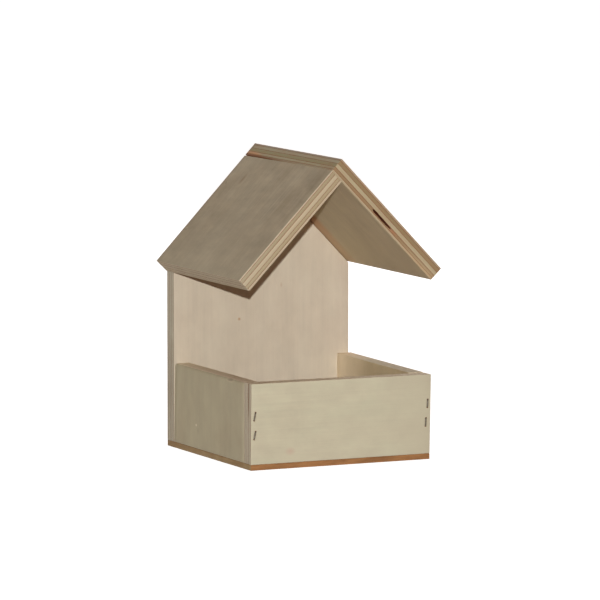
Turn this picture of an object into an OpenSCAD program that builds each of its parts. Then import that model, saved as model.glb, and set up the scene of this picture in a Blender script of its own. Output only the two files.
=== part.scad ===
// Open-fronted bird house in unfinished plywood. A gabled back panel carries two lapped roof
// boards, and a low seed tray stands in front of it on a hardboard floor. It is held by flat-wire
// staples and brads. Millimetres, +Z up. The open front faces -Y, and the origin is the middle
// of the tray's underside.

/* [Boards] */
// Thickness of every plywood board
ply_t = 12; // [9:0.5:18]
// Thickness of the hardboard floor
floor_t = 4.5; // [3:0.5:9]

/* [Tray] */
// Width over the side walls, and of the back panel
house_w = 150; // [110:1:240]
// Depth from the front face of the tray to the rear face of the back panel
house_d = 152; // [120:1:240]
// Height of the tray's walls above the floor
wall_h = 61.5; // [50:0.5:90]
// How far the left wall's rear end is set out to the left of its front end
left_rake = 1.7; // [0:0.1:2]
// How far the front panel's right end leans out at its top
front_lean = 1; // [0:0.1:2]

/* [Back panel] */
// How far the back panel and the roof stand to the left of the tray's middle
back_shift = 2.2; // [0:0.1:4]
// Height of the back panel's straight sides above the floor
shoulder_h = 133.8; // [110:0.1:200]

/* [Roof] */
// Slope of both roof boards, in degrees
pitch = 46; // [35:1:55]
// How far the left eave runs past the back panel, along the slope
eave_left = 2; // [0:0.5:30]
// How far the right eave runs past the back panel, along the slope
eave_right = 0; // [0:0.5:30]
// How far the roof boards reach past the front of the tray
roof_front = 6; // [0:1:30]
// How far the roof boards stop short of the back panel's rear face, at the ridge
ridge_setback = 0; // [0:0.5:5]
// How far they stop short of it beside the back panel's straight sides
eave_setback = 2; // [0:0.5:5]

/* [Gap in the right roof board's inner ply] */
// Distance along the slope from the ridge to the gap's upper end
gap_start = 46; // [30:1:60]
// Length of the gap along the slope
gap_len = 22; // [10:1:30]
// Width of the gap at its middle
gap_w = 2; // [1:0.1:2.5]
// Height of the gap's middle above the board's underside
gap_level = 3.3; // [3:0.1:4.5]
// How deep the gap runs into the board from its front edge
gap_run = 7; // [3:1:20]

/* [Staples] */
// Width over a staple's crown
crown_w = 6.4; // [5:0.1:8]
// Length of a staple over its legs
staple_l = 25; // [18:1:30]
// Width of the flat staple wire
wire_w = 1.2; // [0.9:0.1:1.4]
// Thickness of the flat staple wire
wire_t = 0.9; // [0.6:0.1:1.2]
// Outer radius of a staple's two bends
bend_r = 0.8; // [0.4:0.1:1]
// Length of the chisel points on the legs
point_l = 1.5; // [0.5:0.5:3]
// How deep the crowns are driven below the surface
crown_sink = 0.2; // [0:0.1:0.5]
// Clearance around a driven staple or brad
drive_fit = 0.03; // [0.01:0.01:0.1]

/* [Front staples] */
// Distance from the tray's left face to the middle of the left pair
left_pair_in = 3.5; // [3:0.5:6]
// Distance from the top of the front panel to the left pair's upper staple
left_pair_drop = 25; // [18:0.5:28]
// Lean of the left pair, clockwise from upright, in degrees
left_pair_lean = 12; // [-15:1:15]
// Distance from the tray's right face to the middle of the right pair's lower staple
right_pair_in = 3.4; // [2.5:0.1:6]
// How much nearer that face the right pair's upper staple is
right_pair_slip = 1.5; // [0:0.1:1.5]
// Distance from the top of the front panel to the right pair's upper staple
right_pair_drop = 23; // [18:0.5:28]
// Lean of the right pair, clockwise from upright, in degrees
right_pair_lean = 3; // [-15:1:15]
// Distance between the two staples of a front pair
pair_step = 14.3; // [10:0.1:16]

/* [Back staples] */
// Height of the lower staple in each side wall above the floor
back_pair_low = 18; // [12:1:20]
// Distance between the two staples in each side wall
back_pair_step = 24; // [12:1:26]

/* [Floor staples] */
// Distance from the middle of each wall to its two staples
floor_pair_out = 36; // [20:1:40]

/* [Brads] */
// Length of a brad
brad_l = 30; // [20:1:34]
// Width of a brad's shank
brad_w = 1.2; // [1:0.1:1.4]
// Thickness of a brad's shank
brad_t = 1; // [0.8:0.1:1.2]
// Width of a brad's head
head_w = 2; // [1.6:0.1:2.4]
// Height of a brad's head
head_h = 1; // [0.6:0.1:1.4]
// How deep the heads are set below the surface
head_sink = 0.3; // [0:0.1:0.6]
// Distance down the slope from the peak to the first brad into the back panel
slope_brad_first = 28; // [20:1:35]
// Distance between the two brads into the back panel, along the slope
slope_brad_step = 48; // [30:1:50]
// Distance from the middle of the ridge to its outer brads
ridge_brad_step = 56; // [30:1:58]

/* [Hidden] */
half_w = house_w / 2;
half_d = house_d / 2;
rim_z = floor_t + wall_h;
inner_d = house_d - 2 * ply_t;
side_mid = half_w - ply_t / 2;
end_mid = half_d - ply_t / 2;
back_x = -back_shift;
peak_z = floor_t + shoulder_h + half_w * tan(pitch);
roof_y = [-half_d - roof_front, half_d - min(ridge_setback, eave_setback)];
roof_l = roof_y[1] - roof_y[0];
roof_mid = (roof_y[0] + roof_y[1]) / 2;
// The strip that both the roof boards and the top of the back panel share
seat_mid = half_d - (ply_t + max(ridge_setback, eave_setback)) / 2;
// Run of a slope from the peak to the side of the back panel, and of a ridge board's end
slope_l = half_w / cos(pitch);
end_l = ply_t / sin(2 * pitch);
// The ends of the boards meet the outside of the right board this far up from the peak
ridge_up = ply_t * tan(pitch);
cut = 1;
$fn = 48;

// ---- Fasteners, each with its head on Z = 0 and its point towards -Z ----

// A staple's shape, with its crown along X
module staple_outline() {
    difference() {
        union() {
            translate([-crown_w / 2, -staple_l])
                square([crown_w, staple_l - bend_r]);
            translate([-crown_w / 2 + bend_r, -bend_r])
                square([crown_w - 2 * bend_r, bend_r]);
            for (side = [-1, 1])
                translate([side * (crown_w / 2 - bend_r), -bend_r])
                    circle(r = bend_r);
        }
        translate([-crown_w / 2 + wire_t, -staple_l - cut])
            square([crown_w - 2 * wire_t, staple_l + cut - wire_t]);
        for (side = [-1, 1])
            polygon([
                [side * (crown_w / 2 - wire_t), -staple_l + point_l],
                [side * (crown_w / 2 - wire_t), -staple_l - cut],
                [side * crown_w / 2, -staple_l - cut],
                [side * crown_w / 2, -staple_l]
            ]);
    }
}

// A driven staple, with its crown along Y
module staple() {
    translate([0, 0, -crown_sink])
        rotate([90, 0, 90])
            translate([0, 0, -wire_w / 2])
                linear_extrude(wire_w) staple_outline();
}

// The hole that a staple leaves, open at the surface
module staple_hole() {
    across = wire_w + 2 * drive_fit;
    crown_low = crown_sink + wire_t + drive_fit;
    translate([-across / 2, -crown_w / 2 - drive_fit, -crown_low])
        cube([across, crown_w + 2 * drive_fit, crown_low + cut]);
    for (side = [-1, 1])
        translate([-across / 2, side * (crown_w - wire_t) / 2 - wire_t / 2 - drive_fit, 0])
            translate([0, 0, -crown_sink - staple_l - drive_fit])
                cube([across, wire_t + 2 * drive_fit, staple_l]);
}

// A driven brad, with its head along X
module brad() {
    translate([-brad_t / 2, -brad_w / 2, -head_sink - brad_l])
        cube([brad_t, brad_w, brad_l]);
    translate([-head_w / 2, -brad_w / 2, -head_sink - head_h])
        cube([head_w, brad_w, head_h]);
}

// The hole that a brad leaves, open at the surface
module brad_hole() {
    head_low = head_sink + head_h + drive_fit;
    across = brad_w + 2 * drive_fit;
    translate([-brad_t / 2 - drive_fit, -across / 2, -head_sink - brad_l - drive_fit])
        cube([brad_t + 2 * drive_fit, across, brad_l]);
    translate([-head_w / 2 - drive_fit, -across / 2, -head_low])
        cube([head_w + 2 * drive_fit, across, head_low + cut]);
}

// ---- Where the fasteners are driven ----

// The middle of a side wall at a distance from the front or rear
function side_x(side, y) =
    side * side_mid - (side < 0 ? left_rake * (y + inner_d / 2) / inner_d : 0);

// A leaning pair in the front panel, one staple above the other, the upper one slipped to the
// right
module in_front(x, drop, lean, slip) {
    for (i = [0, 1])
        translate([x + (1 - i) * slip, -half_d, rim_z - drop - i * pair_step])
            rotate([90, 0, 0])
                rotate([0, 0, -lean])
                    children();
}

module in_front_left() {
    in_front(-half_w + left_pair_in, left_pair_drop, left_pair_lean, 0) children();
}

module in_front_right() {
    in_front(half_w - right_pair_in, right_pair_drop, right_pair_lean, right_pair_slip)
        children();
}

// A pair through the back panel into the rear end of a side wall
module in_back(side) {
    for (i = [0, 1])
        translate([
            side_x(side, inner_d / 2), half_d, floor_t + back_pair_low + i * back_pair_step
        ])
            rotate([-90, 0, 0])
                children();
}

// A pair through the floor into the bottom edge of a wall that runs front to back
module in_floor_side(side) {
    for (end = [-1, 1])
        translate([side_x(side, end * floor_pair_out), end * floor_pair_out, 0])
            rotate([180, 0, 0])
                children();
}

// A pair through the floor into the bottom edge of a wall that runs across
module in_floor_across(y) {
    for (end = [-1, 1])
        translate([end * floor_pair_out, y, 0])
            rotate([180, 0, 90])
                children();
}

// A place on the top of a roof board, measured down its slope from the peak
module on_roof(side, down, y) {
    translate([back_x, y, peak_z])
        rotate([0, side * pitch, 0])
            translate([side * down, 0, ply_t])
                children();
}

// The pair through a roof board into the top of the back panel
module in_slope(side) {
    for (i = [0, 1])
        on_roof(side, slope_brad_first + i * slope_brad_step, seat_mid) children();
}

// The row through the right roof board into the upper end of the left one
module in_ridge() {
    for (i = [-1, 0, 1])
        on_roof(1, -end_l / 2, roof_mid + i * ridge_brad_step) children();
}

// ---- Boards ----

// A flat shape drawn in X and Z, standing from y to y + depth
module standing(y, depth) {
    translate([0, y + depth, 0])
        rotate([90, 0, 0])
            linear_extrude(depth) children();
}

// A point in X and Z near the peak: so far down one slope, and so far up from its underside
function roof_point(side, down, up) = [
    back_x + side * (down * cos(pitch) + up * sin(pitch)),
    peak_z - down * sin(pitch) + up * cos(pitch)
];

// The floor, sawn to the outline of the tray and of the back panel's left side
module floor_board() {
    color([0.55, 0.38, 0.24])
    difference() {
        linear_extrude(floor_t)
            polygon([
                [-half_w, -half_d],
                [half_w, -half_d],
                [half_w, half_d],
                [back_x - half_w, half_d]
            ]);
        for (side = [-1, 1]) {
            in_floor_side(side) staple_hole();
            in_floor_across(side * end_mid) staple_hole();
        }
    }
}

module back_panel() {
    color([0.80, 0.72, 0.61])
    difference() {
        standing(half_d - ply_t, ply_t)
            polygon([
                [back_x - half_w, floor_t],
                [back_x + half_w, floor_t],
                [back_x + half_w, floor_t + shoulder_h],
                [back_x, peak_z],
                [back_x - half_w, floor_t + shoulder_h]
            ]);
        for (side = [-1, 1]) {
            in_back(side) staple_hole();
            in_slope(side) brad_hole();
        }
        in_floor_across(end_mid) staple_hole();
    }
}

// A side wall of the tray, between the front panel and the back panel
module side_wall(side) {
    difference() {
        translate([0, 0, floor_t])
            linear_extrude(wall_h)
                polygon([
                    [side_x(side, -inner_d / 2) - ply_t / 2, -inner_d / 2],
                    [side_x(side, -inner_d / 2) + ply_t / 2, -inner_d / 2],
                    [side_x(side, inner_d / 2) + ply_t / 2, inner_d / 2],
                    [side_x(side, inner_d / 2) - ply_t / 2, inner_d / 2]
                ]);
        in_front_left() staple_hole();
        in_front_right() staple_hole();
        in_back(side) staple_hole();
        in_floor_side(side) staple_hole();
    }
}

module left_side() {
    color([0.68, 0.64, 0.53]) side_wall(-1);
}

module right_side() {
    color([0.74, 0.66, 0.53]) side_wall(1);
}

module front_panel() {
    color([0.78, 0.74, 0.63])
    difference() {
        standing(-half_d, ply_t)
            polygon([
                [-half_w, floor_t],
                [half_w, floor_t],
                [half_w + front_lean, rim_z],
                [-half_w, rim_z]
            ]);
        in_front_left() staple_hole();
        in_front_right() staple_hole();
        in_floor_across(-end_mid) staple_hole();
    }
}

// A shape in X and Z as a roof board, with the roof's rear edge sawn out of square
module roof_board() {
    run = (slope_l + max(eave_left, eave_right)) * cos(pitch) + ply_t;
    slant = (eave_setback - ridge_setback) / half_w * run;
    intersection() {
        standing(roof_y[0], roof_l) children();
        linear_extrude(peak_z + 2 * ply_t)
            polygon([
                [back_x - run, roof_y[0]],
                [back_x + run, roof_y[0]],
                [back_x + run, half_d - ridge_setback - slant],
                [back_x, half_d - ridge_setback],
                [back_x - run, half_d - ridge_setback - slant]
            ]);
    }
}

// The left roof board, whose upper end butts against the underside of the right one
module roof_left() {
    eave = slope_l + eave_left;
    color([0.60, 0.56, 0.48])
    difference() {
        roof_board()
            polygon([
                roof_point(-1, 0, 0),
                roof_point(1, -end_l, 0),
                roof_point(-1, eave, ply_t),
                roof_point(-1, eave, 0)
            ]);
        in_slope(-1) brad_hole();
        in_ridge() brad_hole();
    }
}

// The slot that a short inner ply leaves in the front edge of the right roof board
module ply_gap() {
    arc_r = (gap_len * gap_len + gap_w * gap_w) / (4 * gap_w);
    middle = roof_point(1, gap_start + gap_len / 2 - ridge_up, gap_level);
    standing(roof_y[0] - cut, gap_run + cut)
        translate(middle)
            rotate(-pitch)
                intersection_for (side = [-1, 1])
                    translate([0, side * (arc_r - gap_w / 2)])
                        circle(r = arc_r);
}

// The right roof board, which runs over the left one's upper end and forms the ridge
module roof_right() {
    eave = slope_l + eave_right;
    color([0.58, 0.51, 0.41])
    difference() {
        roof_board()
            polygon([
                roof_point(1, -end_l, 0),
                roof_point(1, eave, 0),
                roof_point(1, eave, ply_t),
                roof_point(1, -ridge_up, ply_t)
            ]);
        in_slope(1) brad_hole();
        in_ridge() brad_hole();
        ply_gap();
    }
}

// ---- The driven staples and brads ----

module front_staples_left() {
    color([0.42, 0.38, 0.32]) in_front_left() staple();
}

module front_staples_right() {
    color([0.42, 0.38, 0.32]) in_front_right() staple();
}

module back_staples_left() {
    color([0.42, 0.38, 0.32]) in_back(-1) staple();
}

module back_staples_right() {
    color([0.42, 0.38, 0.32]) in_back(1) staple();
}

module floor_staples_left() {
    color([0.42, 0.38, 0.32]) in_floor_side(-1) staple();
}

module floor_staples_right() {
    color([0.42, 0.38, 0.32]) in_floor_side(1) staple();
}

module floor_staples_front() {
    color([0.42, 0.38, 0.32]) in_floor_across(-end_mid) staple();
}

module floor_staples_back() {
    color([0.42, 0.38, 0.32]) in_floor_across(end_mid) staple();
}

module roof_brads_left() {
    color([0.42, 0.38, 0.32]) in_slope(-1) brad();
}

module roof_brads_right() {
    color([0.42, 0.38, 0.32]) in_slope(1) brad();
}

module ridge_brads() {
    color([0.42, 0.38, 0.32]) in_ridge() brad();
}

floor_board();
back_panel();
left_side();
right_side();
front_panel();
roof_left();
roof_right();
front_staples_left();
front_staples_right();
back_staples_left();
back_staples_right();
floor_staples_left();
floor_staples_right();
floor_staples_front();
floor_staples_back();
roof_brads_left();
roof_brads_right();
ridge_brads();
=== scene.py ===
import math

import bpy
from mathutils import Matrix, Vector


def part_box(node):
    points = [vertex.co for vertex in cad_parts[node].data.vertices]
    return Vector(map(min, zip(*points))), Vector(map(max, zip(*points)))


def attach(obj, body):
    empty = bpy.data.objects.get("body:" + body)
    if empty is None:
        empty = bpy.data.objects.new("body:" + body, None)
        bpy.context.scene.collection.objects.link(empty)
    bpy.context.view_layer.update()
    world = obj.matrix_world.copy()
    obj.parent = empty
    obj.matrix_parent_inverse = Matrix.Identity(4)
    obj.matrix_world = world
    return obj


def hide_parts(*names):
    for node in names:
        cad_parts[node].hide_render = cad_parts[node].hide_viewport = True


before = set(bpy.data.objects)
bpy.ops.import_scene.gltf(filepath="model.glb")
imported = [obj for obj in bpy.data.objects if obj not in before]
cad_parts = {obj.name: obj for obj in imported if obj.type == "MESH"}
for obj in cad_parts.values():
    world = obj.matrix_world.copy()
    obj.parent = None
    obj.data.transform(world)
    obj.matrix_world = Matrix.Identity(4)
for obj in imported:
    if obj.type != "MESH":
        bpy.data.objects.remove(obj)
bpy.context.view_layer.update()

# ---- Floor board ----
# A sheet of hardboard, sawn to the outline of the tray and stapled up into the walls. It is
# pressed wood fibre: smooth on top, printed by a wire screen below, and brown and fuzzy where
# the saw has opened its edges.

MM = 0.001
RIGHT, INWARD, UP = Vector((1, 0, 0)), Vector((0, 1, 0)), Vector((0, 0, 1))

floor_low, floor_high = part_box("floor_board")
# Its front reaches as far left as right; only its rear left corner stands further out
floor_front_left = -floor_high.x
floor_ease = 0.3 * MM
floor_step = 4 * MM
floor_fuzz = 0.12 * MM
floor_fuzz_size = 3 * MM
wood_gloss = 0.25
fibre_relief = 0.15 * MM
# The press's screen prints only the lowest part of the sheet
screen_pitch = 1.6 * MM
screen_start = 0.4 * MM
screen_full = 0.2 * MM
sharp_angle = math.radians(35)
# A face is sawn while its normal leans less than this towards the sheet's own normal, and is
# cut across the grain once it leans more than this towards the grain
sawn_below = 0.5
across_above = 0.6

# The crowns of the driven staples lie in slots that their wire has pressed into the wood
crown_w = 6.4 * MM
wire_w = 1.2 * MM
slot_l = 7.2 * MM
slot_w = 1.5 * MM
slot_depth = 1.2 * MM


def sawn_box(name, low, high, turn=(0, 0, 0)):
    """Adds a board as a cube at its size and place, and leaves it open in edit mode."""
    bpy.ops.object.select_all(action="DESELECT")
    bpy.ops.mesh.primitive_cube_add(
        size=1, location=(low + high) / 2, rotation=turn, scale=high - low
    )
    board = bpy.context.object
    board.name = board.data.name = name
    bpy.ops.object.transform_apply(location=True, rotation=True, scale=True)
    bpy.ops.object.mode_set(mode="EDIT")
    return board


def pull(board, chosen, shift):
    """Moves the open board's corners that chosen picks."""
    bpy.ops.mesh.select_mode(type="VERT")
    bpy.ops.mesh.select_all(action="DESELECT")
    bpy.ops.object.mode_set(mode="OBJECT")
    for corner in board.data.vertices:
        corner.select = chosen(corner.co)
    bpy.ops.object.mode_set(mode="EDIT")
    bpy.ops.transform.translate(value=shift)


def ease(radius):
    """Rounds the open board's arrises over, as a rub with sandpaper does."""
    bpy.ops.mesh.select_mode(type="EDGE")
    bpy.ops.mesh.select_all(action="DESELECT")
    bpy.ops.mesh.edges_select_sharp(sharpness=sharp_angle)
    bpy.ops.mesh.bevel(offset=radius, segments=2, profile=0.5)


def score(start, end, step):
    """Draws evenly spaced lines round the open board, from start towards end, to shape it by."""
    way = (end - start).normalized()
    count = max(1, round((end - start).length / step))
    for i in range(1, count):
        bpy.ops.mesh.select_all(action="SELECT")
        bpy.ops.mesh.bisect(plane_co=start + (end - start) * i / count, plane_no=way)


def ripple(board, depth, spacing):
    """Sinks the board's surface unevenly by up to depth, as knife, press and saw leave it."""
    waves = bpy.data.textures.new(board.name + "_waves", "CLOUDS")
    waves.noise_scale = spacing
    waves.noise_depth = 2
    bpy.ops.object.modifier_add(type="DISPLACE")
    sink = board.modifiers[-1]
    sink.texture = waves
    sink.texture_coords = "LOCAL"
    sink.mid_level = 1
    sink.strength = depth
    bpy.ops.object.modifier_apply(modifier=sink.name)


def mark_cuts(board, grain, through):
    """Stores where the saw has opened the board, and where it has cut across the face grain."""
    sawn = board.data.attributes.new("sawn", "FLOAT", "FACE")
    across = board.data.attributes.new("across", "FLOAT", "FACE")
    rim = board.data.attributes.new("rim", "FLOAT", "POINT")
    for face in board.data.polygons:
        is_sawn = abs(face.normal.dot(through)) < sawn_below
        sawn.data[face.index].value = is_sawn
        across.data[face.index].value = abs(face.normal.dot(grain)) > across_above
        for corner in face.vertices if is_sawn else []:
            rim.data[corner].value = 1


def punch(board, holes):
    """Cuts blocks out of the finished board, each given by its middle, size and turn."""
    bpy.ops.object.select_all(action="DESELECT")
    punches = []
    for middle, size, turn in holes:
        bpy.ops.mesh.primitive_cube_add(size=1, location=middle, rotation=turn, scale=size)
        punches.append(bpy.context.object)
    cut_away(board, punches)


def cut_away(board, cutters):
    """Cuts the shapes out of the board, and discards them."""
    bpy.ops.object.select_all(action="DESELECT")
    for cutter in cutters:
        cutter.select_set(True)
    bpy.context.view_layer.objects.active = cutters[0]
    bpy.ops.object.join()
    bpy.context.view_layer.objects.active = board
    bpy.ops.object.modifier_add(type="BOOLEAN")
    cut = board.modifiers[-1]
    cut.object = cutters[0]
    bpy.ops.object.modifier_apply(modifier=cut.name)
    bpy.data.objects.remove(cutters[0])


def finish_board(board, slot, *nodes):
    """Smooths the eased arrises, and puts the board in the place of its CAD nodes."""
    bpy.ops.object.select_all(action="DESELECT")
    board.select_set(True)
    bpy.context.view_layer.objects.active = board
    bpy.ops.object.shade_smooth_by_angle(angle=sharp_angle)
    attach(board, "root")
    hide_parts(*nodes)


def feed(tree, socket, value):
    """Links a socket to a node's first output or to a socket, or sets it to a value."""
    if isinstance(value, bpy.types.Node):
        value = value.outputs[0]
    if isinstance(value, bpy.types.NodeSocket):
        tree.links.new(value, socket)
    else:
        socket.default_value = value


def add(tree, kind, sockets=None, **settings):
    """Adds a shader node with its settings, and feeds its sockets."""
    made = tree.nodes.new(kind)
    for name, value in settings.items():
        setattr(made, name, value)
    for name, value in (sockets or {}).items():
        feed(tree, made.inputs[name], value)
    return made


def math_node(tree, operation, *values):
    """A Math node on one to three numbers or sockets."""
    return add(tree, "ShaderNodeMath", dict(enumerate(values)), operation=operation)


def noise(tree, place, stretch, seed, detail=3.0, roughness=0.5):
    """Noise in features of 1 / stretch metres along each axis."""
    scaled = add(tree, "ShaderNodeMapping", {"Vector": place, "Scale": stretch})
    return add(
        tree,
        "ShaderNodeTexNoise",
        {"Vector": scaled, "W": seed, "Scale": 1, "Detail": detail, "Roughness": roughness},
        noise_dimensions="4D",
    )


def blend(tree, factor, first, second):
    """Mixes two colours, or two numbers as greys."""
    mixed = add(tree, "ShaderNodeMix", data_type="RGBA")
    for socket, value in ((0, factor), (6, first), (7, second)):
        if isinstance(value, tuple):
            value = (*value, 1)
        feed(tree, mixed.inputs[socket], value)
    return mixed.outputs[2]


def ramp(tree, factor, stops, interpolation="LINEAR"):
    """A colour ramp through (position, colour) stops."""
    made = add(tree, "ShaderNodeValToRGB", {"Fac": factor})
    bar = made.color_ramp
    bar.interpolation = interpolation
    bar.elements[0].position, bar.elements[1].position = stops[0][0], stops[1][0]
    for position, _ in stops[2:]:
        bar.elements.new(position)
    for element, (_, colour) in zip(bar.elements, stops):
        element.color = (*colour, 1)
    return made


def step_up(tree, value, start, end):
    """Rises from 0 to 1 while the value goes from start to end."""
    return add(
        tree, "ShaderNodeMapRange", {"Value": value, "From Min": start, "From Max": end}
    )


def stored(tree, name):
    """A number that the mesh keeps under this name."""
    return add(tree, "ShaderNodeAttribute", attribute_name=name).outputs["Fac"]


def new_paint(name):
    """An empty material, and its tree and object coordinates."""
    paint = bpy.data.materials.new(name)
    paint.use_nodes = True
    paint.node_tree.nodes.clear()
    coordinates = paint.node_tree.nodes.new("ShaderNodeTexCoord")
    return paint, paint.node_tree, coordinates.outputs["Object"]


def surface(tree, colour, roughness, height, relief, gloss, metal=0.0):
    """The shader and output of a material, with its relief in metres."""
    bump = add(tree, "ShaderNodeBump", {"Height": height, "Distance": relief, "Strength": 1.0})
    shader = add(
        tree,
        "ShaderNodeBsdfPrincipled",
        {
            "Base Color": colour,
            "Roughness": roughness,
            "Specular IOR Level": gloss,
            "Metallic": metal,
            "Normal": bump,
        },
    )
    add(tree, "ShaderNodeOutputMaterial", {"Surface": shader})


def hardboard():
    """Pressed brown fibre, redder and layered where it is sawn."""
    paint, tree, place = new_paint("hardboard")
    sawn = stored(tree, "sawn")
    fibre = noise(tree, place, (420, 420, 420), 1.0, 6, 0.65)
    clump = noise(tree, place, (70, 70, 70), 2.0, 3)
    layer = noise(tree, place, (60, 60, 1500), 3.0, 4, 0.6)
    patch = noise(tree, place, (55, 55, 200), 4.0, 3, 0.6)
    face = ramp(
        tree,
        math_node(tree, "MULTIPLY_ADD", fibre, 0.5, math_node(tree, "MULTIPLY", clump, 0.5)),
        [(0.30, (0.23, 0.12, 0.055)), (0.52, (0.36, 0.20, 0.095)), (0.72, (0.50, 0.31, 0.16))],
    )
    edge = ramp(
        tree,
        math_node(tree, "MULTIPLY_ADD", layer, 0.4, math_node(tree, "MULTIPLY", patch, 0.6)),
        [(0.34, (0.23, 0.11, 0.04)), (0.50, (0.35, 0.17, 0.06)), (0.66, (0.48, 0.24, 0.09))],
    )
    # The side edges have gathered pale wood dust
    edge = blend(
        tree,
        math_node(tree, "MULTIPLY", stored(tree, "across"), patch),
        edge,
        (0.45, 0.38, 0.21),
    )

    # The wire screen of the press prints a fine mesh into the underside
    wires = [
        math_node(tree, "SINE", math_node(tree, "MULTIPLY", axis, 2 * math.pi / screen_pitch))
        for axis in add(tree, "ShaderNodeSeparateXYZ", {"Vector": place}).outputs[:2]
    ]
    screen = math_node(tree, "MULTIPLY", wires[0], wires[1])
    height_above = add(tree, "ShaderNodeSeparateXYZ", {"Vector": place}).outputs["Z"]
    below = step_up(tree, height_above, screen_start, screen_full)
    face = blend(
        tree,
        math_node(tree, "MULTIPLY", math_node(tree, "MULTIPLY_ADD", screen, 0.3, 0.3), below),
        face,
        (0.20, 0.10, 0.045),
    )
    height = math_node(tree, "MULTIPLY_ADD", fibre, 0.6, layer)
    height = math_node(
        tree, "MULTIPLY_ADD", math_node(tree, "MULTIPLY", screen, below), -0.8, height
    )
    surface(
        tree,
        blend(tree, sawn, face, edge),
        math_node(tree, "MULTIPLY_ADD", fibre, 0.3, 0.55),
        height,
        fibre_relief,
        wood_gloss,
    )
    return paint


floor = sawn_box("floor_sheet", Vector((floor_front_left, *floor_low.yz)), floor_high)
pull(floor, lambda spot: spot.x < 0 < spot.y, RIGHT * (floor_low.x - floor_front_left))
ease(floor_ease)
score(Vector((floor_low.x, 0, 0)), Vector((floor_high.x, 0, 0)), floor_step)
score(Vector((0, floor_low.y, 0)), Vector((0, floor_high.y, 0)), floor_step)
bpy.ops.object.mode_set(mode="OBJECT")
ripple(floor, floor_fuzz, floor_fuzz_size)
mark_cuts(floor, RIGHT, UP)

# Each pair's box ends half a crown, and half a wire, past its two slots. The left wall stands a
# little askew, so its rear staple lies further left than its front one.
floor_slots = []
for pair, along in (
    ("floor_staples_left", INWARD),
    ("floor_staples_right", INWARD),
    ("floor_staples_front", RIGHT),
    ("floor_staples_back", RIGHT),
):
    low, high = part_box(pair)
    end = (RIGHT + INWARD - along) * wire_w / 2 + along * crown_w / 2
    front, rear = low + end, high - end
    if along == INWARD:
        front.x, rear.x = rear.x, front.x
    size = Vector((slot_w, slot_w, 2 * slot_depth)) + along * (slot_l - slot_w)
    for middle in (front, rear):
        floor_slots.append((Vector((middle.x, middle.y, floor_low.z)), size, (0, 0, 0)))
punch(floor, floor_slots)
floor.data.materials.append(hardboard())
finish_board(floor, "hardboard", "floor_board")

# ---- Left side wall ----
# A board of five-ply wood, sawn to size and stapled between the front and back panels. Its face
# grain stands upright, its arrises are only rubbed down, and its rear end is sawn askew.

left_low, left_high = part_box("left_side")
front_low, front_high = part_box("front_panel")
ply_t = front_high.y - front_low.y
left_rake = left_high.x - left_low.x - ply_t
board_ease = 0.16 * MM
board_step = 6 * MM
glue_w = 0.22 * MM
glue_sink = 0.08 * MM
veneer_wave = 0.12 * MM
wave_size = 18 * MM
veneer_relief = 0.05 * MM
# How far below a face the wood inside slots and voids turns dark: painted shade in the hollow,
# over the inner plies' darker colour
hollow_shade_start = 0.25 * MM
hollow_shade_full = 0.45 * MM
# Where the four glue lines lie, as shares of the thickness
TRAY_LINES = (0.10, 0.375, 0.63, 0.90)


def round_over(board, chosen, radius):
    """Sands the open board's edges that chosen picks to a radius."""
    bpy.ops.mesh.select_all(action="DESELECT")
    bpy.ops.object.mode_set(mode="OBJECT")
    corners = board.data.vertices
    for edge in board.data.edges:
        edge.select = all(chosen(corners[i].co) for i in edge.vertices)
    bpy.ops.object.mode_set(mode="EDIT")
    bpy.ops.mesh.select_mode(type="EDGE")
    bpy.ops.mesh.bevel(offset=radius, segments=4, profile=0.5)


def glue_lines(first_face, through, shares):
    """Sinks a fine groove round the open board's sawn edges at each glue line."""
    for share in shares:
        line = first_face + through * ply_t * share
        for shift in (-glue_w / 2, glue_w / 2, 0):
            bpy.ops.mesh.select_all(action="SELECT")
            bpy.ops.mesh.bisect(plane_co=line + through * shift, plane_no=through)
        bpy.ops.transform.shrink_fatten(value=-glue_sink, use_even_offset=True)


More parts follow.
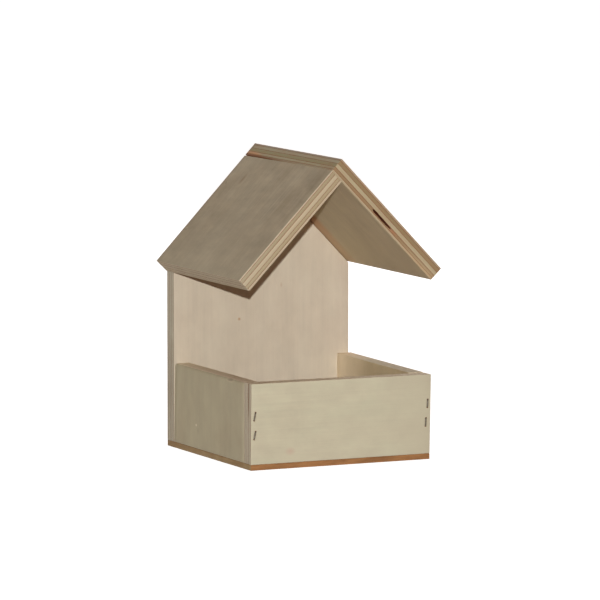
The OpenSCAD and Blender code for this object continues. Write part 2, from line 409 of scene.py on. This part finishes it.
def plywood(name, corner, grain, through, seed, look, marks=()):
    """Five-ply wood as a solid stack. Its own axes run along the face grain, across it, and
    through the plies from the corner of the first face.

    look gives the veneer's colours from dark to pale, how strongly it is figured, how fine its
    clouds are, how much of the figure is streaks, the five plies and four glue lines as cut
    along and across the face grain, where the glue lines lie, the stain on the cuts and how far
    it goes, and whether the insides of its slots and voids are painted dark, in the inner plies'
    own colour and in painted shade. A mark is (middle, radii, colour, strength), on the sheet's
    own axes.
    """
    paint, tree, place = new_paint(name)
    turn = Matrix((grain, through.cross(grain), through)).transposed().to_euler()
    sheet = add(
        tree,
        "ShaderNodeMapping",
        {"Vector": place, "Location": corner, "Rotation": turn},
        vector_type="TEXTURE",
    )
    sawn = stored(tree, "sawn")
    across = stored(tree, "across")
    rim = stored(tree, "rim")
    depth = add(tree, "ShaderNodeSeparateXYZ", {"Vector": sheet}).outputs["Z"]

    # The faces: one veneer, peeled off the log in a sheet, with drifting colour, slow bands,
    # streaks, fine fibre, the flame of the year rings and short dark pores
    drift = noise(tree, sheet, (22, 38, 38), seed, 4, 0.6)
    colour = ramp(tree, drift, list(zip((0.36, 0.50, 0.64), look["veneer"])))
    fibre = noise(tree, sheet, (14, 900, 900), seed + 1, 3, 0.6)
    streak = noise(tree, sheet, (8, 140, 140), seed + 2, 4, 0.6)
    band = noise(tree, sheet, (9, 30, 30), seed + 3, 3)
    pores = step_up(tree, noise(tree, sheet, (220, 2200, 2200), seed + 4, 2), 0.60, 0.75)
    flame = add(
        tree,
        "ShaderNodeTexWave",
        {
            "Vector": add(tree, "ShaderNodeMapping", {"Vector": sheet, "Scale": (1.6, 11, 11)}),
            "Scale": 1.0,
            "Distortion": 7.0,
            "Detail": 3.0,
            "Detail Scale": 0.7,
            "Phase Offset": seed,
        },
        bands_direction="Y",
    )
    cloud = noise(tree, sheet, look["clouds"], seed + 9, 4, 0.6)
    shade = 1.0
    for part, middle, amount in (
        (fibre, 0.5, 0.6),
        (cloud, 0.5, 1.0),
        (streak, 0.5, look["streaks"]),
        (band, 0.5, look["streaks"]),
        (flame, 0.5, 0.12 * look["streaks"]),
        (pores, 0.1, -0.25),
    ):
        amount = amount * look["figure"]
        shade = math_node(
            tree, "ADD", shade, math_node(tree, "MULTIPLY_ADD", part, amount, -middle * amount)
        )
    face = add(
        tree, "ShaderNodeVectorMath", {0: colour, "Scale": shade}, operation="SCALE"
    )

    # The sawn edges: the plies lie across each other, so each cut shows both kinds of grain
    wobble = noise(tree, sheet, (60, 60, 60), seed + 5, 2)
    level = math_node(
        tree, "MULTIPLY_ADD", wobble, 0.04, math_node(tree, "DIVIDE", depth, ply_t)
    )
    level = math_node(tree, "SUBTRACT", level, 0.02)
    shares = look["lines"]
    # Each glue line fades into the plies over one and a half times its width
    joint_fade = 1.5 * glue_w / ply_t

    def stack(way):
        """The plies and glue lines of a cut made this way."""
        wood, glue = look[way], look[way + "_glue"]
        stops = [(0.0, wood[0])]
        for share, before, joint, after in zip(shares, wood, glue, wood[1:]):
            stops += [(share - joint_fade, before), (share, joint), (share + joint_fade, after)]
        return ramp(tree, level, stops + [(1.0, wood[-1])])

    cut = blend(tree, across, stack("along"), stack("athwart"))
    crossing = noise(tree, sheet, (900, 14, 900), seed + 6, 3, 0.6)
    even_ply = ramp(
        tree,
        level,
        [(0.0, (0, 0, 0))] + [(share, (1 - i % 2,) * 3) for i, share in enumerate(shares)],
        "CONSTANT",
    )
    grit = blend(tree, even_ply, fibre, crossing)
    patch = noise(tree, sheet, (48, 48, 200), seed + 7, 4, 0.65)
    stain, strength = look["stain"]
    stained = math_node(tree, "MULTIPLY", step_up(tree, patch, 0.42, 0.66), strength)
    cut = blend(tree, stained, cut, stain)
    cut_shade = math_node(tree, "MULTIPLY_ADD", grit, 0.34, 0.83)
    cut = add(tree, "ShaderNodeVectorMath", {0: cut, "Scale": cut_shade}, operation="SCALE")
    colour = blend(tree, sawn, face, cut)

    # Handling greys the wood a little beside each arris
    wear = noise(tree, sheet, (45, 45, 45), seed + 8, 4, 0.7)
    wear = math_node(tree, "MULTIPLY", math_node(tree, "MULTIPLY", rim, wear), 0.14)
    colour = blend(tree, wear, colour, (0.33, 0.28, 0.20))

    for middle, radii, tint, force in marks:
        spot = add(
            tree,
            "ShaderNodeMapping",
            {"Vector": sheet, "Location": middle, "Scale": radii},
            vector_type="TEXTURE",
        )
        fade = add(
            tree, "ShaderNodeTexGradient", {"Vector": spot}, gradient_type="SPHERICAL"
        ).outputs["Fac"]
        ragged = math_node(tree, "MULTIPLY", fade, math_node(tree, "ADD", wobble, 0.5))
        amount = math_node(tree, "MULTIPLY", ragged, force)
        amount.use_clamp = True
        colour = blend(tree, amount, colour, tint)

    # Below the veneer, inside a slot or a void, the wood is painted dark: the inner plies' darker
    # colour, deepened by painted shade of the hollow
    below_first = step_up(tree, depth, hollow_shade_start, hollow_shade_full)
    below_last = step_up(tree, depth, ply_t - hollow_shade_start, ply_t - hollow_shade_full)
    core_and_hollow_shade = math_node(tree, "MULTIPLY", below_first, below_last)
    core_and_hollow_shade = math_node(tree, "MULTIPLY", core_and_hollow_shade, math_node(tree, "SUBTRACT", look["core_and_hollow_shade"], sawn))
    core_and_hollow_shade.use_clamp = True
    colour = blend(tree, core_and_hollow_shade, colour, (0.26, 0.085, 0.035))

    height = math_node(tree, "MULTIPLY_ADD", fibre, 0.5, math_node(tree, "MULTIPLY", streak, 0.5))
    height = math_node(tree, "MULTIPLY_ADD", pores, -0.3, height)
    height = blend(tree, sawn, height, grit)
    surface(
        tree,
        colour,
        math_node(tree, "MULTIPLY_ADD", streak, 0.2, 0.6),
        height,
        veneer_relief,
        wood_gloss,
    )
    return paint


def plies(odd, even):
    """The five plies' colours in a cut."""
    return (odd, even, odd, even, odd)


def glued(colour):
    """The same colour for all four glue lines."""
    return (colour,) * 4


def straight_board(name, low, high, through, shares, pulls=(), rounded=None):
    """A board with eased arrises, grooved glue lines and scored faces.

    pulls moves its corners first, and rounded sands the edges it picks to a radius.
    """
    board = sawn_box(name, low, high)
    for chosen, shift in pulls:
        pull(board, chosen, shift)
    if rounded:
        round_over(board, *rounded)
    ease(board_ease)
    glue_lines(low, through, shares)
    for way in (RIGHT, INWARD, UP):
        if way != through:
            score(low, low + way * way.dot(high - low), board_step)
    bpy.ops.object.mode_set(mode="OBJECT")
    ripple(board, veneer_wave, wave_size)
    return board


SIDE_LOOK = {
    "veneer": ((0.541, 0.49, 0.339), (0.568, 0.525, 0.366), (0.596, 0.559, 0.389)),
    "figure": 0.20,
    "clouds": (45, 70, 70),
    "streaks": 0.6,
    "along": plies((0.66, 0.57, 0.42), (0.60, 0.52, 0.38)),
    "along_glue": glued((0.42, 0.33, 0.23)),
    # The top and bottom edges. The top rim's plies are made paler than the wood: partly painted
    # light from above, which the lamps give too weakly
    "athwart": (
        (0.90, 0.82, 0.65), (0.885, 0.80, 0.62), (0.85, 0.76, 0.58), (0.83, 0.75, 0.56),
        (0.79, 0.70, 0.51),
    ),
    "athwart_glue": glued((0.72, 0.61, 0.45)),
    "lines": TRAY_LINES,
    "stain": ((0.60, 0.42, 0.28), 0.15),
    "core_and_hollow_shade": 0,
}
left_through = (RIGHT * (left_high.y - left_low.y) + INWARD * left_rake).normalized()
left_corner = Vector((left_low.x + left_rake, *left_low.yz))
left_end = Vector((left_high.x, *left_high.yz))
rear_of_wall = (left_low.y + left_high.y) / 2
half_up = left_high.z / 2

# The wall leans in at its rear and is a shade low, and its outer top arris is sanded round
lean_in = 0.9 * MM
left_dip = 0.4 * MM
sanded = 2.2 * MM
left_wall = straight_board(
    "left_wall",
    left_corner,
    left_end,
    RIGHT,
    (),
    [
        (lambda spot: spot.y > rear_of_wall, -RIGHT * left_rake),
        (lambda spot: spot.y > rear_of_wall and spot.z > half_up, RIGHT * lean_in),
        (lambda spot: spot.z > half_up, -UP * left_dip),
    ],
    (lambda spot: spot.z > half_up and spot.x < left_end.x - ply_t / 2, sanded),
)
mark_cuts(left_wall, UP, RIGHT)
# A closed knot under the top edge, and a nick in the veneer
left_marks = [
    (Vector((60.2, -26, 0)) * MM, Vector((2.2, 8.5, 4)) * MM, (0.74, 0.66, 0.48), 1.2),
    (Vector((60.2, -26, 0)) * MM, Vector((1.3, 6.5, 4)) * MM, (0.46, 0.40, 0.28), 1.8),
    (Vector((18, -87.5, 0)) * MM, Vector((1.3, 1.3, 2)) * MM, (0.90, 0.84, 0.68), 2.0),
    (Vector((14, -84, 0)) * MM, Vector((3, 2, 2)) * MM, (0.50, 0.45, 0.31), 0.8),
]
left_wall.data.materials.append(
    plywood("left_wall_ply", left_corner, UP, left_through, 10.0, SIDE_LOOK, left_marks)
)
finish_board(left_wall, "tray_plywood", "left_side")

# ---- Right side wall ----
# The left wall's fellow, of the same five-ply wood and stapled in the same way. Its inner face
# is darker than the left wall's outer one, and its top edge rises a little towards the rear.

right_low, right_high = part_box("right_side")
INSIDE_LOOK = dict(
    SIDE_LOOK,
    veneer=((0.541, 0.43, 0.263), (0.568, 0.457, 0.28), (0.588, 0.48, 0.298)),
    athwart=plies((0.61, 0.575, 0.425), (0.63, 0.595, 0.445)),
    athwart_glue=glued((0.50, 0.44, 0.32)),
)
right_dip = 0.25 * MM
right_rise = 0.5 * MM
right_wall = straight_board(
    "right_wall",
    right_low,
    right_high,
    RIGHT,
    TRAY_LINES,
    [
        (lambda spot: spot.y < rear_of_wall and spot.z > half_up, -UP * right_dip),
        (lambda spot: spot.y > rear_of_wall and spot.z > half_up, UP * right_rise),
    ],
)
mark_cuts(right_wall, UP, RIGHT)
# Painted light: its inner face is painted lighter and warmer beside the back panel, where the
# lamp and the light bounced off the panel fall
right_marks = [
    (Vector((50, -135, 0)) * MM, Vector((90, 62, 20)) * MM, (0.83, 0.69, 0.48), 1.6),
]
right_wall.data.materials.append(
    plywood("right_wall_ply", right_low, UP, RIGHT, 20.0, INSIDE_LOOK, right_marks)
)
finish_board(right_wall, "tray_plywood", "right_side")

# ---- Front panel ----
# A board of five-ply wood that covers the front ends of both side walls, with two staples driven
# through it into each. Its face grain runs across, and its rim dips a little at both ends.

FRONT_LOOK = {
    "veneer": ((0.597, 0.569, 0.418), (0.621, 0.6, 0.439), (0.635, 0.63, 0.458)),
    "figure": 0.24,
    "clouds": (45, 70, 70),
    "streaks": 0.6,
    # The top and bottom edges. The top rim's plies are made paler than the wood: partly painted
    # light from above, which the lamps give too weakly
    "along": plies((0.92, 0.88, 0.67), (0.90, 0.82, 0.62)),
    "along_glue": glued((0.60, 0.49, 0.34)),
    "athwart": (
        (0.65, 0.60, 0.46), (0.62, 0.585, 0.45), (0.65, 0.615, 0.475), (0.66, 0.625, 0.485),
        (0.65, 0.61, 0.47),
    ),
    "athwart_glue": (
        (0.52, 0.45, 0.34), (0.36, 0.29, 0.20), (0.56, 0.51, 0.38), (0.56, 0.51, 0.38),
    ),
    "lines": TRAY_LINES,
    "stain": ((0.66, 0.50, 0.38), 0.2),
    "core_and_hollow_shade": 1,
}
# Its right end leans out at the top, and its top left corner is in a little at the front
front_right = -front_low.x
front_lean = front_high.x - front_right
front_dip = 0.75 * MM
front_left_dip = 0.25 * MM
corner_in = 0.75 * MM
front_middle = (front_low.y + front_high.y) / 2
front_wall = straight_board(
    "front_wall",
    front_low,
    Vector((front_right, *front_high.yz)),
    INWARD,
    TRAY_LINES,
    [
        (lambda spot: spot.x > 0 and spot.z > half_up, RIGHT * front_lean - UP * front_dip),
        (lambda spot: spot.x < 0 and spot.z > half_up, -UP * front_left_dip),
        (
            lambda spot: spot.x < 0 and spot.z > half_up and spot.y < front_middle,
            RIGHT * corner_in,
        ),
    ],
)
mark_cuts(front_wall, RIGHT, INWARD)

# The two staples of a pair stand one above the other, and both lean the same way. The right
# pair's upper one has slipped towards the corner.
pair_step = 14.3 * MM
right_slip = 1.5 * MM
front_slots = []
for pair, lean, slip in (
    ("front_staples_left", 12, 0),
    ("front_staples_right", 3, right_slip),
):
    low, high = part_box(pair)
    for side in (-1, 1):
        middle = Vector(((low.x + high.x) / 2, front_low.y, (low.z + high.z) / 2))
        middle += (UP * pair_step + RIGHT * slip) * side / 2
        size = Vector((slot_w, 2 * slot_depth, slot_l))
        front_slots.append((middle, size, (0, math.radians(lean), 0)))
punch(front_wall, front_slots)

# A pinkish stain low on the left, an open glue line high in the left end, a duller right end,
# and painted shade round each staple's slot
front_marks = [
    (Vector((32.7, -8.6, 0)) * MM, Vector((5, 3.6, 3)) * MM, (0.60, 0.42, 0.32), 0.55),
    (Vector((0, -53, 4.5)) * MM, Vector((2, 22, 1.1)) * MM, (0.25, 0.17, 0.11), 3.0),
    (Vector((160, -35, 0)) * MM, Vector((90, 150, 30)) * MM, (0.55, 0.52, 0.38), 0.7),
]
# Painted shade: a darker patch round each slot
for middle, *_ in front_slots:
    spot = middle - front_low
    front_marks.append(
        (Vector((spot.x, -spot.z, 0)), Vector((2.2, 4.6, 2)) * MM, (0.45, 0.38, 0.27), 0.5)
    )
front_wall.data.materials.append(
    plywood("front_wall_ply", front_low, RIGHT, INWARD, 30.0, FRONT_LOOK, front_marks)
)
finish_board(front_wall, "tray_plywood", "front_panel")

# ---- Back panel ----
# One tall plywood board with a gabled top, which carries both roof boards and closes the rear
# of the tray. Its face grain stands upright, and its two slopes are sawn by hand.

back_low, back_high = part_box("back_panel")
pitch = math.radians(46)
# The ways straight out of the left and the right slope
LEFT_UP = Vector((-math.sin(pitch), 0, math.cos(pitch)))
RIGHT_UP = Vector((math.sin(pitch), 0, math.cos(pitch)))
peak = Vector(((back_low.x + back_high.x) / 2, 0, back_high.z))


def saw(point, outward):
    """Saws the open board along a plane and drops the side that outward points to."""
    bpy.ops.mesh.select_all(action="SELECT")
    bpy.ops.mesh.bisect(plane_co=point, plane_no=outward, use_fill=True, clear_outer=True)


BACK_LOOK = {
    "veneer": ((0.588, 0.512, 0.396), (0.612, 0.537, 0.417), (0.63, 0.56, 0.435)),
    "figure": 0.20,
    "clouds": (45, 70, 70),
    "streaks": 0.7,
    "along": plies((0.585, 0.57, 0.45), (0.60, 0.58, 0.455)),
    "along_glue": glued((0.54, 0.50, 0.38)),
    "athwart": plies((0.60, 0.50, 0.36), (0.64, 0.55, 0.40)),
    "athwart_glue": glued((0.46, 0.37, 0.26)),
    "lines": TRAY_LINES,
    "stain": ((0.66, 0.56, 0.44), 0.2),
    "core_and_hollow_shade": 1,
}
# Its left edge is sawn out of square, and its right slope a shade too low
back_slant = 0.5 * MM
slope_short = 0.8 * MM
back = sawn_box("back_board", back_low, back_high)
back_middle = (back_low + back_high) / 2
pull(
    back,
    lambda spot: spot.x < back_middle.x and spot.y < back_middle.y,
    RIGHT * back_slant,
)
saw(peak, LEFT_UP)
saw(peak - UP * slope_short, RIGHT_UP)
ease(board_ease)
glue_lines(back_low, INWARD, TRAY_LINES)
score(back_low, Vector((back_high.x, back_low.y, back_low.z)), board_step)
score(back_low, Vector((back_low.x, back_low.y, back_high.z)), board_step)
bpy.ops.object.mode_set(mode="OBJECT")
ripple(back, veneer_wave, wave_size)
mark_cuts(back, UP, INWARD)
back_slots = []
for pair in ("back_staples_left", "back_staples_right"):
    low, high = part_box(pair)
    for z in (low.z + crown_w / 2, high.z - crown_w / 2):
        middle = Vector(((low.x + high.x) / 2, back_high.y, z))
        back_slots.append((middle, Vector((slot_w, 2 * slot_depth, slot_l)), (0, 0, 0)))
punch(back, back_slots)
# A small brown speck, a left edge that is duller low down, and a fainter speck higher up
back_marks = [
    (Vector((93, 56, 0)) * MM, Vector((1.6, 1.6, 2)) * MM, (0.46, 0.29, 0.16), 1.4),
    (Vector((36, 0, 6)) * MM, Vector((58, 4, 14)) * MM, (0.46, 0.43, 0.33), 0.9),
    (Vector((118, 92, 0)) * MM, Vector((2.5, 1.2, 2)) * MM, (0.52, 0.38, 0.26), 0.8),
]
back.data.materials.append(
    plywood("back_ply", back_low, UP, INWARD, 40.0, BACK_LOOK, back_marks)
)
finish_board(back, "back_plywood", "back_panel")

# ---- Right roof board ----
# A plywood board nailed to the gable, which runs on over the upper end of the left one, so that
# its sawn end is the ridge. Its face grain runs down the slope, so its front edge shows pale
# plies with brown end grain between them.

roof_right_low, roof_right_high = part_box("roof_right")
DOWN_RIGHT = Vector((math.cos(pitch), 0, -math.sin(pitch)))
# At an eave the board's upper corner stands this much further out than its lower one
eave_in = ply_t * math.sin(pitch)
right_run = (roof_right_high.x - peak.x - eave_in) / math.cos(pitch)
roof_front, roof_rear = roof_right_low.y, roof_right_high.y
# Each board starts this much too long, past the ridge, and is sawn off there
spare = 2 * ply_t
# The rear edges are out of square: beside the panel's sides they stop short by this much
eave_short = 2 * MM
rear_slant = eave_short / ((back_high.x - back_low.x) / 2)

# The brads' small heads lie in holes just below the surface
head_w = 2.2 * MM
brad_w = 1.4 * MM
pin_depth = 0.4 * MM
slope_brads = (28 * MM, 76 * MM)
ridge_brad_step = 56 * MM


def roof_board(name, down, up, run, shares, cuts):
    """A board from past the ridge down to its eave, turned to its slope and sawn."""
    middle = peak + down * (run - spare) / 2 + up * ply_t / 2
    middle.y = (roof_front + roof_rear) / 2
    half = Vector((run + spare, roof_rear - roof_front, ply_t)) / 2
    turn = (0, math.copysign(pitch, down.x), 0)
    board = sawn_box(name, middle - half, middle + half, turn)
    for point, outward in cuts:
        saw(point, outward)
    saw(Vector((peak.x, roof_rear, 0)), INWARD + RIGHT * math.copysign(rear_slant, down.x))
    ease(board_ease)
    glue_lines(peak, up, shares)
    score(peak - down * spare, peak + down * run, board_step)
    score(Vector((0, roof_front, 0)), Vector((0, roof_rear, 0)), board_step)
    bpy.ops.object.mode_set(mode="OBJECT")
    ripple(board, veneer_wave, wave_size)
    mark_cuts(board, down, up)
    return board


def pin_holes(down, up, places):
    """Small holes in the top of a roof board, at distances down the slope and along the ridge."""
    turn = (0, math.copysign(pitch, down.x), 0)
    size = Vector((head_w, brad_w, 2 * pin_depth))
    return [(peak + up * ply_t + down * far + INWARD * y, size, turn) for far, y in places]


def middle_y(node):
    """Where the middle of a CAD node lies from front to rear."""
    low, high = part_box(node)
    return (low.y + high.y) / 2


slope_y = middle_y("roof_brads_right")
ridge_y = middle_y("ridge_brads")
# The ridge's brads stand over the middle of the left board's end, up the slope from the peak
ridge_far = -ply_t / math.sin(2 * pitch) / 2
# The ridge is sawn level with the top of the left board
right_top = peak + LEFT_UP * ply_t

RIGHT_LOOK = {
    "veneer": ((0.654, 0.556, 0.369), (0.689, 0.59, 0.392), (0.713, 0.618, 0.41)),
    "figure": 0.28,
    "clouds": (45, 70, 70),
    "streaks": 0.6,
    "along": (
        (0.53, 0.47, 0.305), (0.325, 0.23, 0.115), (0.51, 0.45, 0.28), (0.32, 0.235, 0.115),
        (0.42, 0.34, 0.215),
    ),
    "along_glue": glued((0.30, 0.19, 0.10)),
    "athwart": (
        (0.424, 0.383, 0.262), (0.48, 0.453, 0.295), (0.389, 0.363, 0.207),
        (0.485, 0.458, 0.316), (0.444, 0.426, 0.339),
    ),
    "athwart_glue": glued((0.37, 0.29, 0.17)),
    "lines": (0.14, 0.34, 0.615, 0.86),
    "stain": ((0.46, 0.23, 0.11), 0.35),
    "core_and_hollow_shade": 1,
}
right_roof = roof_board(
    "roof_board_right",
    DOWN_RIGHT,
    RIGHT_UP,
    right_run,
    RIGHT_LOOK["lines"],
    [(right_top, LEFT_UP)],
)
punch(
    right_roof,
    pin_holes(
        DOWN_RIGHT,
        RIGHT_UP,
        [(far, slope_y) for far in slope_brads]
        + [(ridge_far, ridge_y + i * ridge_brad_step) for i in (-1, 0, 1)],
    ),
)

# One inner ply is a little short, and leaves a dark slit in the front edge: blunt at its upper
# end, and tapering down the slope
gap_middle = 44.6 * MM
gap_half = 11 * MM
gap_level = 3.3 * MM
gap_run = 7 * MM
# How far each part of it lies down the slope, and half its length and width
gap_parts = [(0, gap_half, 1.0 * MM), (-6.5 * MM, 4.5 * MM, 1.1 * MM)]
slits = []
for shift, half_l, half_w in gap_parts:
    middle = peak + DOWN_RIGHT * (gap_middle + shift) + RIGHT_UP * gap_level
    middle.y = roof_front
    bpy.ops.object.select_all(action="DESELECT")
    bpy.ops.mesh.primitive_cylinder_add(
        vertices=32,
        radius=1,
        depth=2,
        location=middle,
        rotation=(math.pi / 2, pitch, 0),
        scale=(half_l, half_w, gap_run),
    )
    slits.append(bpy.context.object)
for slit in slits:
    cut_away(right_roof, [slit])

roof_corner = Vector((peak.x, roof_front, peak.z))
right_roof_marks = [
    # A warm band painted on the underside beside the back panel: painted light, standing in for
    # the warm light that the lit panel bounces onto it
    (Vector((50, 149, 0)) * MM, Vector((150, 25, 6)) * MM, (0.65, 0.385, 0.21), 2.6),
    # Dark brown along the rear of the ridge joint, where it opens, and brown stains below the gap
    # and at the eave
    (Vector((-12, 150, 0)) * MM, Vector((3, 90, 2.4)) * MM, (0.26, 0.13, 0.06), 1.6),
    (Vector((58, 0, 3)) * MM, Vector((6, 3, 1.2)) * MM, (0.42, 0.20, 0.10), 1.3),
    (Vector((98, 0, 1)) * MM, Vector((34, 4, 2.4)) * MM, (0.44, 0.27, 0.13), 0.9),
    # The underside is a little duller towards the eave
    (Vector((104, 80, 0)) * MM, Vector((50, 200, 6)) * MM, (0.60, 0.50, 0.31), 0.9),
]
right_roof.data.materials.append(
    plywood(
        "roof_right_ply", roof_corner, DOWN_RIGHT, RIGHT_UP, 50.0, RIGHT_LOOK, right_roof_marks
    )
)
finish_board(right_roof, "roof_plywood", "roof_right")

# ---- Left roof board ----
# The second plywood board, nailed to the gable with its upper end butted under the right one.
# Its face grain runs down the slope, and its outer face is grey and blotched.

roof_left_low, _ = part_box("roof_left")
DOWN_LEFT = Vector((-math.cos(pitch), 0, -math.sin(pitch)))
left_run = (peak.x - roof_left_low.x - eave_in) / math.cos(pitch)
LEFT_LOOK = {
    "veneer": ((0.421, 0.369, 0.26), (0.46, 0.41, 0.296), (0.493, 0.449, 0.33)),
    "figure": 0.75,
    "clouds": (75, 34, 70),
    "streaks": 0.18,
    "along": (
        (0.59, 0.51, 0.35), (0.475, 0.395, 0.235), (0.605, 0.53, 0.355), (0.445, 0.372, 0.225),
        (0.67, 0.59, 0.43),
    ),
    "along_glue": glued((0.45, 0.35, 0.22)),
    "athwart": (
        (0.73, 0.66, 0.47), (0.70, 0.64, 0.45), (0.73, 0.66, 0.47), (0.72, 0.65, 0.46),
        (0.82, 0.74, 0.54),
    ),
    "athwart_glue": glued((0.66, 0.59, 0.42)),
    "lines": (0.165, 0.385, 0.665, 0.905),
    "stain": ((0.60, 0.43, 0.30), 0.15),
    "core_and_hollow_shade": 1,
}
# The joint at the ridge opens a little from its middle towards the rear
joint_slant = 0.011
left_roof = roof_board(
    "roof_board_left",
    DOWN_LEFT,
    LEFT_UP,
    left_run,
    LEFT_LOOK["lines"],
    [(peak, RIGHT_UP), (peak, RIGHT_UP + INWARD * joint_slant)],
)
punch(left_roof, pin_holes(DOWN_LEFT, LEFT_UP, [(far, slope_y) for far in slope_brads]))
# Paler towards the eave, and a darker spot high up near the rear
left_roof_marks = [
    (Vector((112, -80, 12)) * MM, Vector((70, 160, 20)) * MM, (0.60, 0.57, 0.43), 0.5),
    (Vector((22, -128, 12)) * MM, Vector((7, 3.5, 4)) * MM, (0.34, 0.25, 0.17), 0.8),
    (Vector((60, -70, 12)) * MM, Vector((26, 10, 4)) * MM, (0.40, 0.35, 0.26), 0.3),
]
left_roof.data.materials.append(
    plywood(
        "roof_left_ply", roof_corner, DOWN_LEFT, LEFT_UP, 60.0, LEFT_LOOK, left_roof_marks
    )
)
finish_board(left_roof, "roof_plywood", "roof_left")

# ---- Staples and brads ----
# Flat steel wire from an air gun, driven just below the surface, and dulled by its zinc coat
# and a film of glue. The CAD nodes have the right shape and only take the finish.


def dull_steel():
    """Bare wire under a patchy film, with fine scratches."""
    paint, tree, place = new_paint("dull_steel")
    film = noise(tree, place, (900, 900, 900), 5.0, 4, 0.6)
    scratch = noise(tree, place, (400, 2500, 400), 6.0, 3)
    colour = ramp(
        tree, film, [(0.35, (0.10, 0.085, 0.06)), (0.60, (0.25, 0.23, 0.18))]
    )
    surface(
        tree,
        colour,
        math_node(tree, "MULTIPLY_ADD", film, 0.3, 0.35),
        scratch,
        scratch_relief,
        0.5,
        metal=0.8,
    )
    return paint


scratch_relief = 0.02 * MM
steel = dull_steel()
FASTENERS = [
    "front_staples_left", "front_staples_right", "back_staples_left", "back_staples_right",
    "floor_staples_left", "floor_staples_right", "floor_staples_front", "floor_staples_back",
    "roof_brads_left", "roof_brads_right", "ridge_brads",
]
for fastener in FASTENERS:
    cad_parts[fastener].data.materials.clear()
    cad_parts[fastener].data.materials.append(steel)

# ---- Studio ----
# A pale floor, a hard lamp beside the lens, a dim warm room, and two broad soft lamps, behind
# the house and to its right, for the sides that the first one leaves dark.

bpy.ops.object.select_all(action="DESELECT")
studio_size = 60
floor_glow = 0.93
bpy.ops.mesh.primitive_plane_add(size=studio_size, location=(0, 0, 0))
ground = bpy.context.object
ground.name = "studio_floor"
ground.visible_diffuse = False
ground_paint, tree, _ = new_paint("studio_floor")
matt = add(tree, "ShaderNodeBsdfDiffuse", {"Color": (0.5, 0.5, 0.5, 1)})
glow = add(tree, "ShaderNodeEmission", {"Color": (1, 1, 1, 1), "Strength": floor_glow})
both = add(tree, "ShaderNodeAddShader", {0: matt, 1: glow})
add(tree, "ShaderNodeOutputMaterial", {"Surface": both})
ground.data.materials.append(ground_paint)

world = bpy.context.scene.world or bpy.data.worlds.new("room")
bpy.context.scene.world = world
world.use_nodes = True
world.node_tree.nodes.clear()
tree = world.node_tree
ray = tree.nodes.new("ShaderNodeLightPath").outputs["Is Camera Ray"]
# The room is paler on the left, where its window is
outward = tree.nodes.new("ShaderNodeTexCoord").outputs["Generated"]
way = add(tree, "ShaderNodeSeparateXYZ", {"Vector": outward})
window = math_node(tree, "MULTIPLY_ADD", way.outputs["X"], -1.3, 0.15)
window.use_clamp = True
walls = blend(tree, window, (0.150, 0.050, 0.019), (0.175, 0.130, 0.095))
dim = add(tree, "ShaderNodeBackground", {"Color": walls, "Strength": 1.0})
bright = add(tree, "ShaderNodeBackground", {"Color": (1, 1, 1, 1), "Strength": 1.0})
room = add(tree, "ShaderNodeMixShader", {0: ray, 1: dim, 2: bright})
add(tree, "ShaderNodeOutputWorld", {"Surface": room})


def direction(azimuth, elevation):
    """The way towards a lamp or the camera, measured to the left of the front."""
    a, e = math.radians(azimuth), math.radians(elevation)
    return Vector((-math.sin(a) * math.cos(e), -math.cos(a) * math.cos(e), math.sin(e)))


def aim(obj, towards):
    """Turns a lamp or camera to look along towards."""
    obj.rotation_euler = towards.to_track_quat("-Z", "Y").to_euler()


lamp_distance = 3
lamp_power = 2.36
lamp_spread = math.radians(0.5)
fill_distance = 1.6
fill_size = 1.6
toward_lamp = direction(24.35, 8.77)
bpy.ops.object.light_add(type="SUN", location=toward_lamp * lamp_distance)
lamp = bpy.context.object
lamp.name = "key_lamp"
aim(lamp, -toward_lamp)
lamp.data.energy = lamp_power
lamp.data.angle = lamp_spread

for name, azimuth, elevation, power in (
    ("rear_lamp", -150, 38, 9),
    ("side_lamp", -98, 26, 7),
):
    toward_fill = direction(azimuth, elevation)
    bpy.ops.object.light_add(type="AREA", location=toward_fill * fill_distance)
    fill = bpy.context.object
    fill.name = name
    aim(fill, -toward_fill)
    fill.data.shape = "SQUARE"
    fill.data.size = fill_size
    fill.data.energy = power

view_target = Vector((2.98, 4.0, 117.42)) * MM
view_distance = 4.0269
sensor_width = 36
focal_length = 314.2
toward_camera = direction(24.91, 6.483)
bpy.ops.object.camera_add(location=view_target + toward_camera * view_distance)
camera = bpy.context.object
aim(camera, -toward_camera)
camera.data.sensor_width = sensor_width
camera.data.lens = focal_length
camera.data.clip_start = 0.1
camera.data.clip_end = 100
bpy.context.scene.camera = camera
bpy.context.scene.view_settings.view_transform = "Standard"
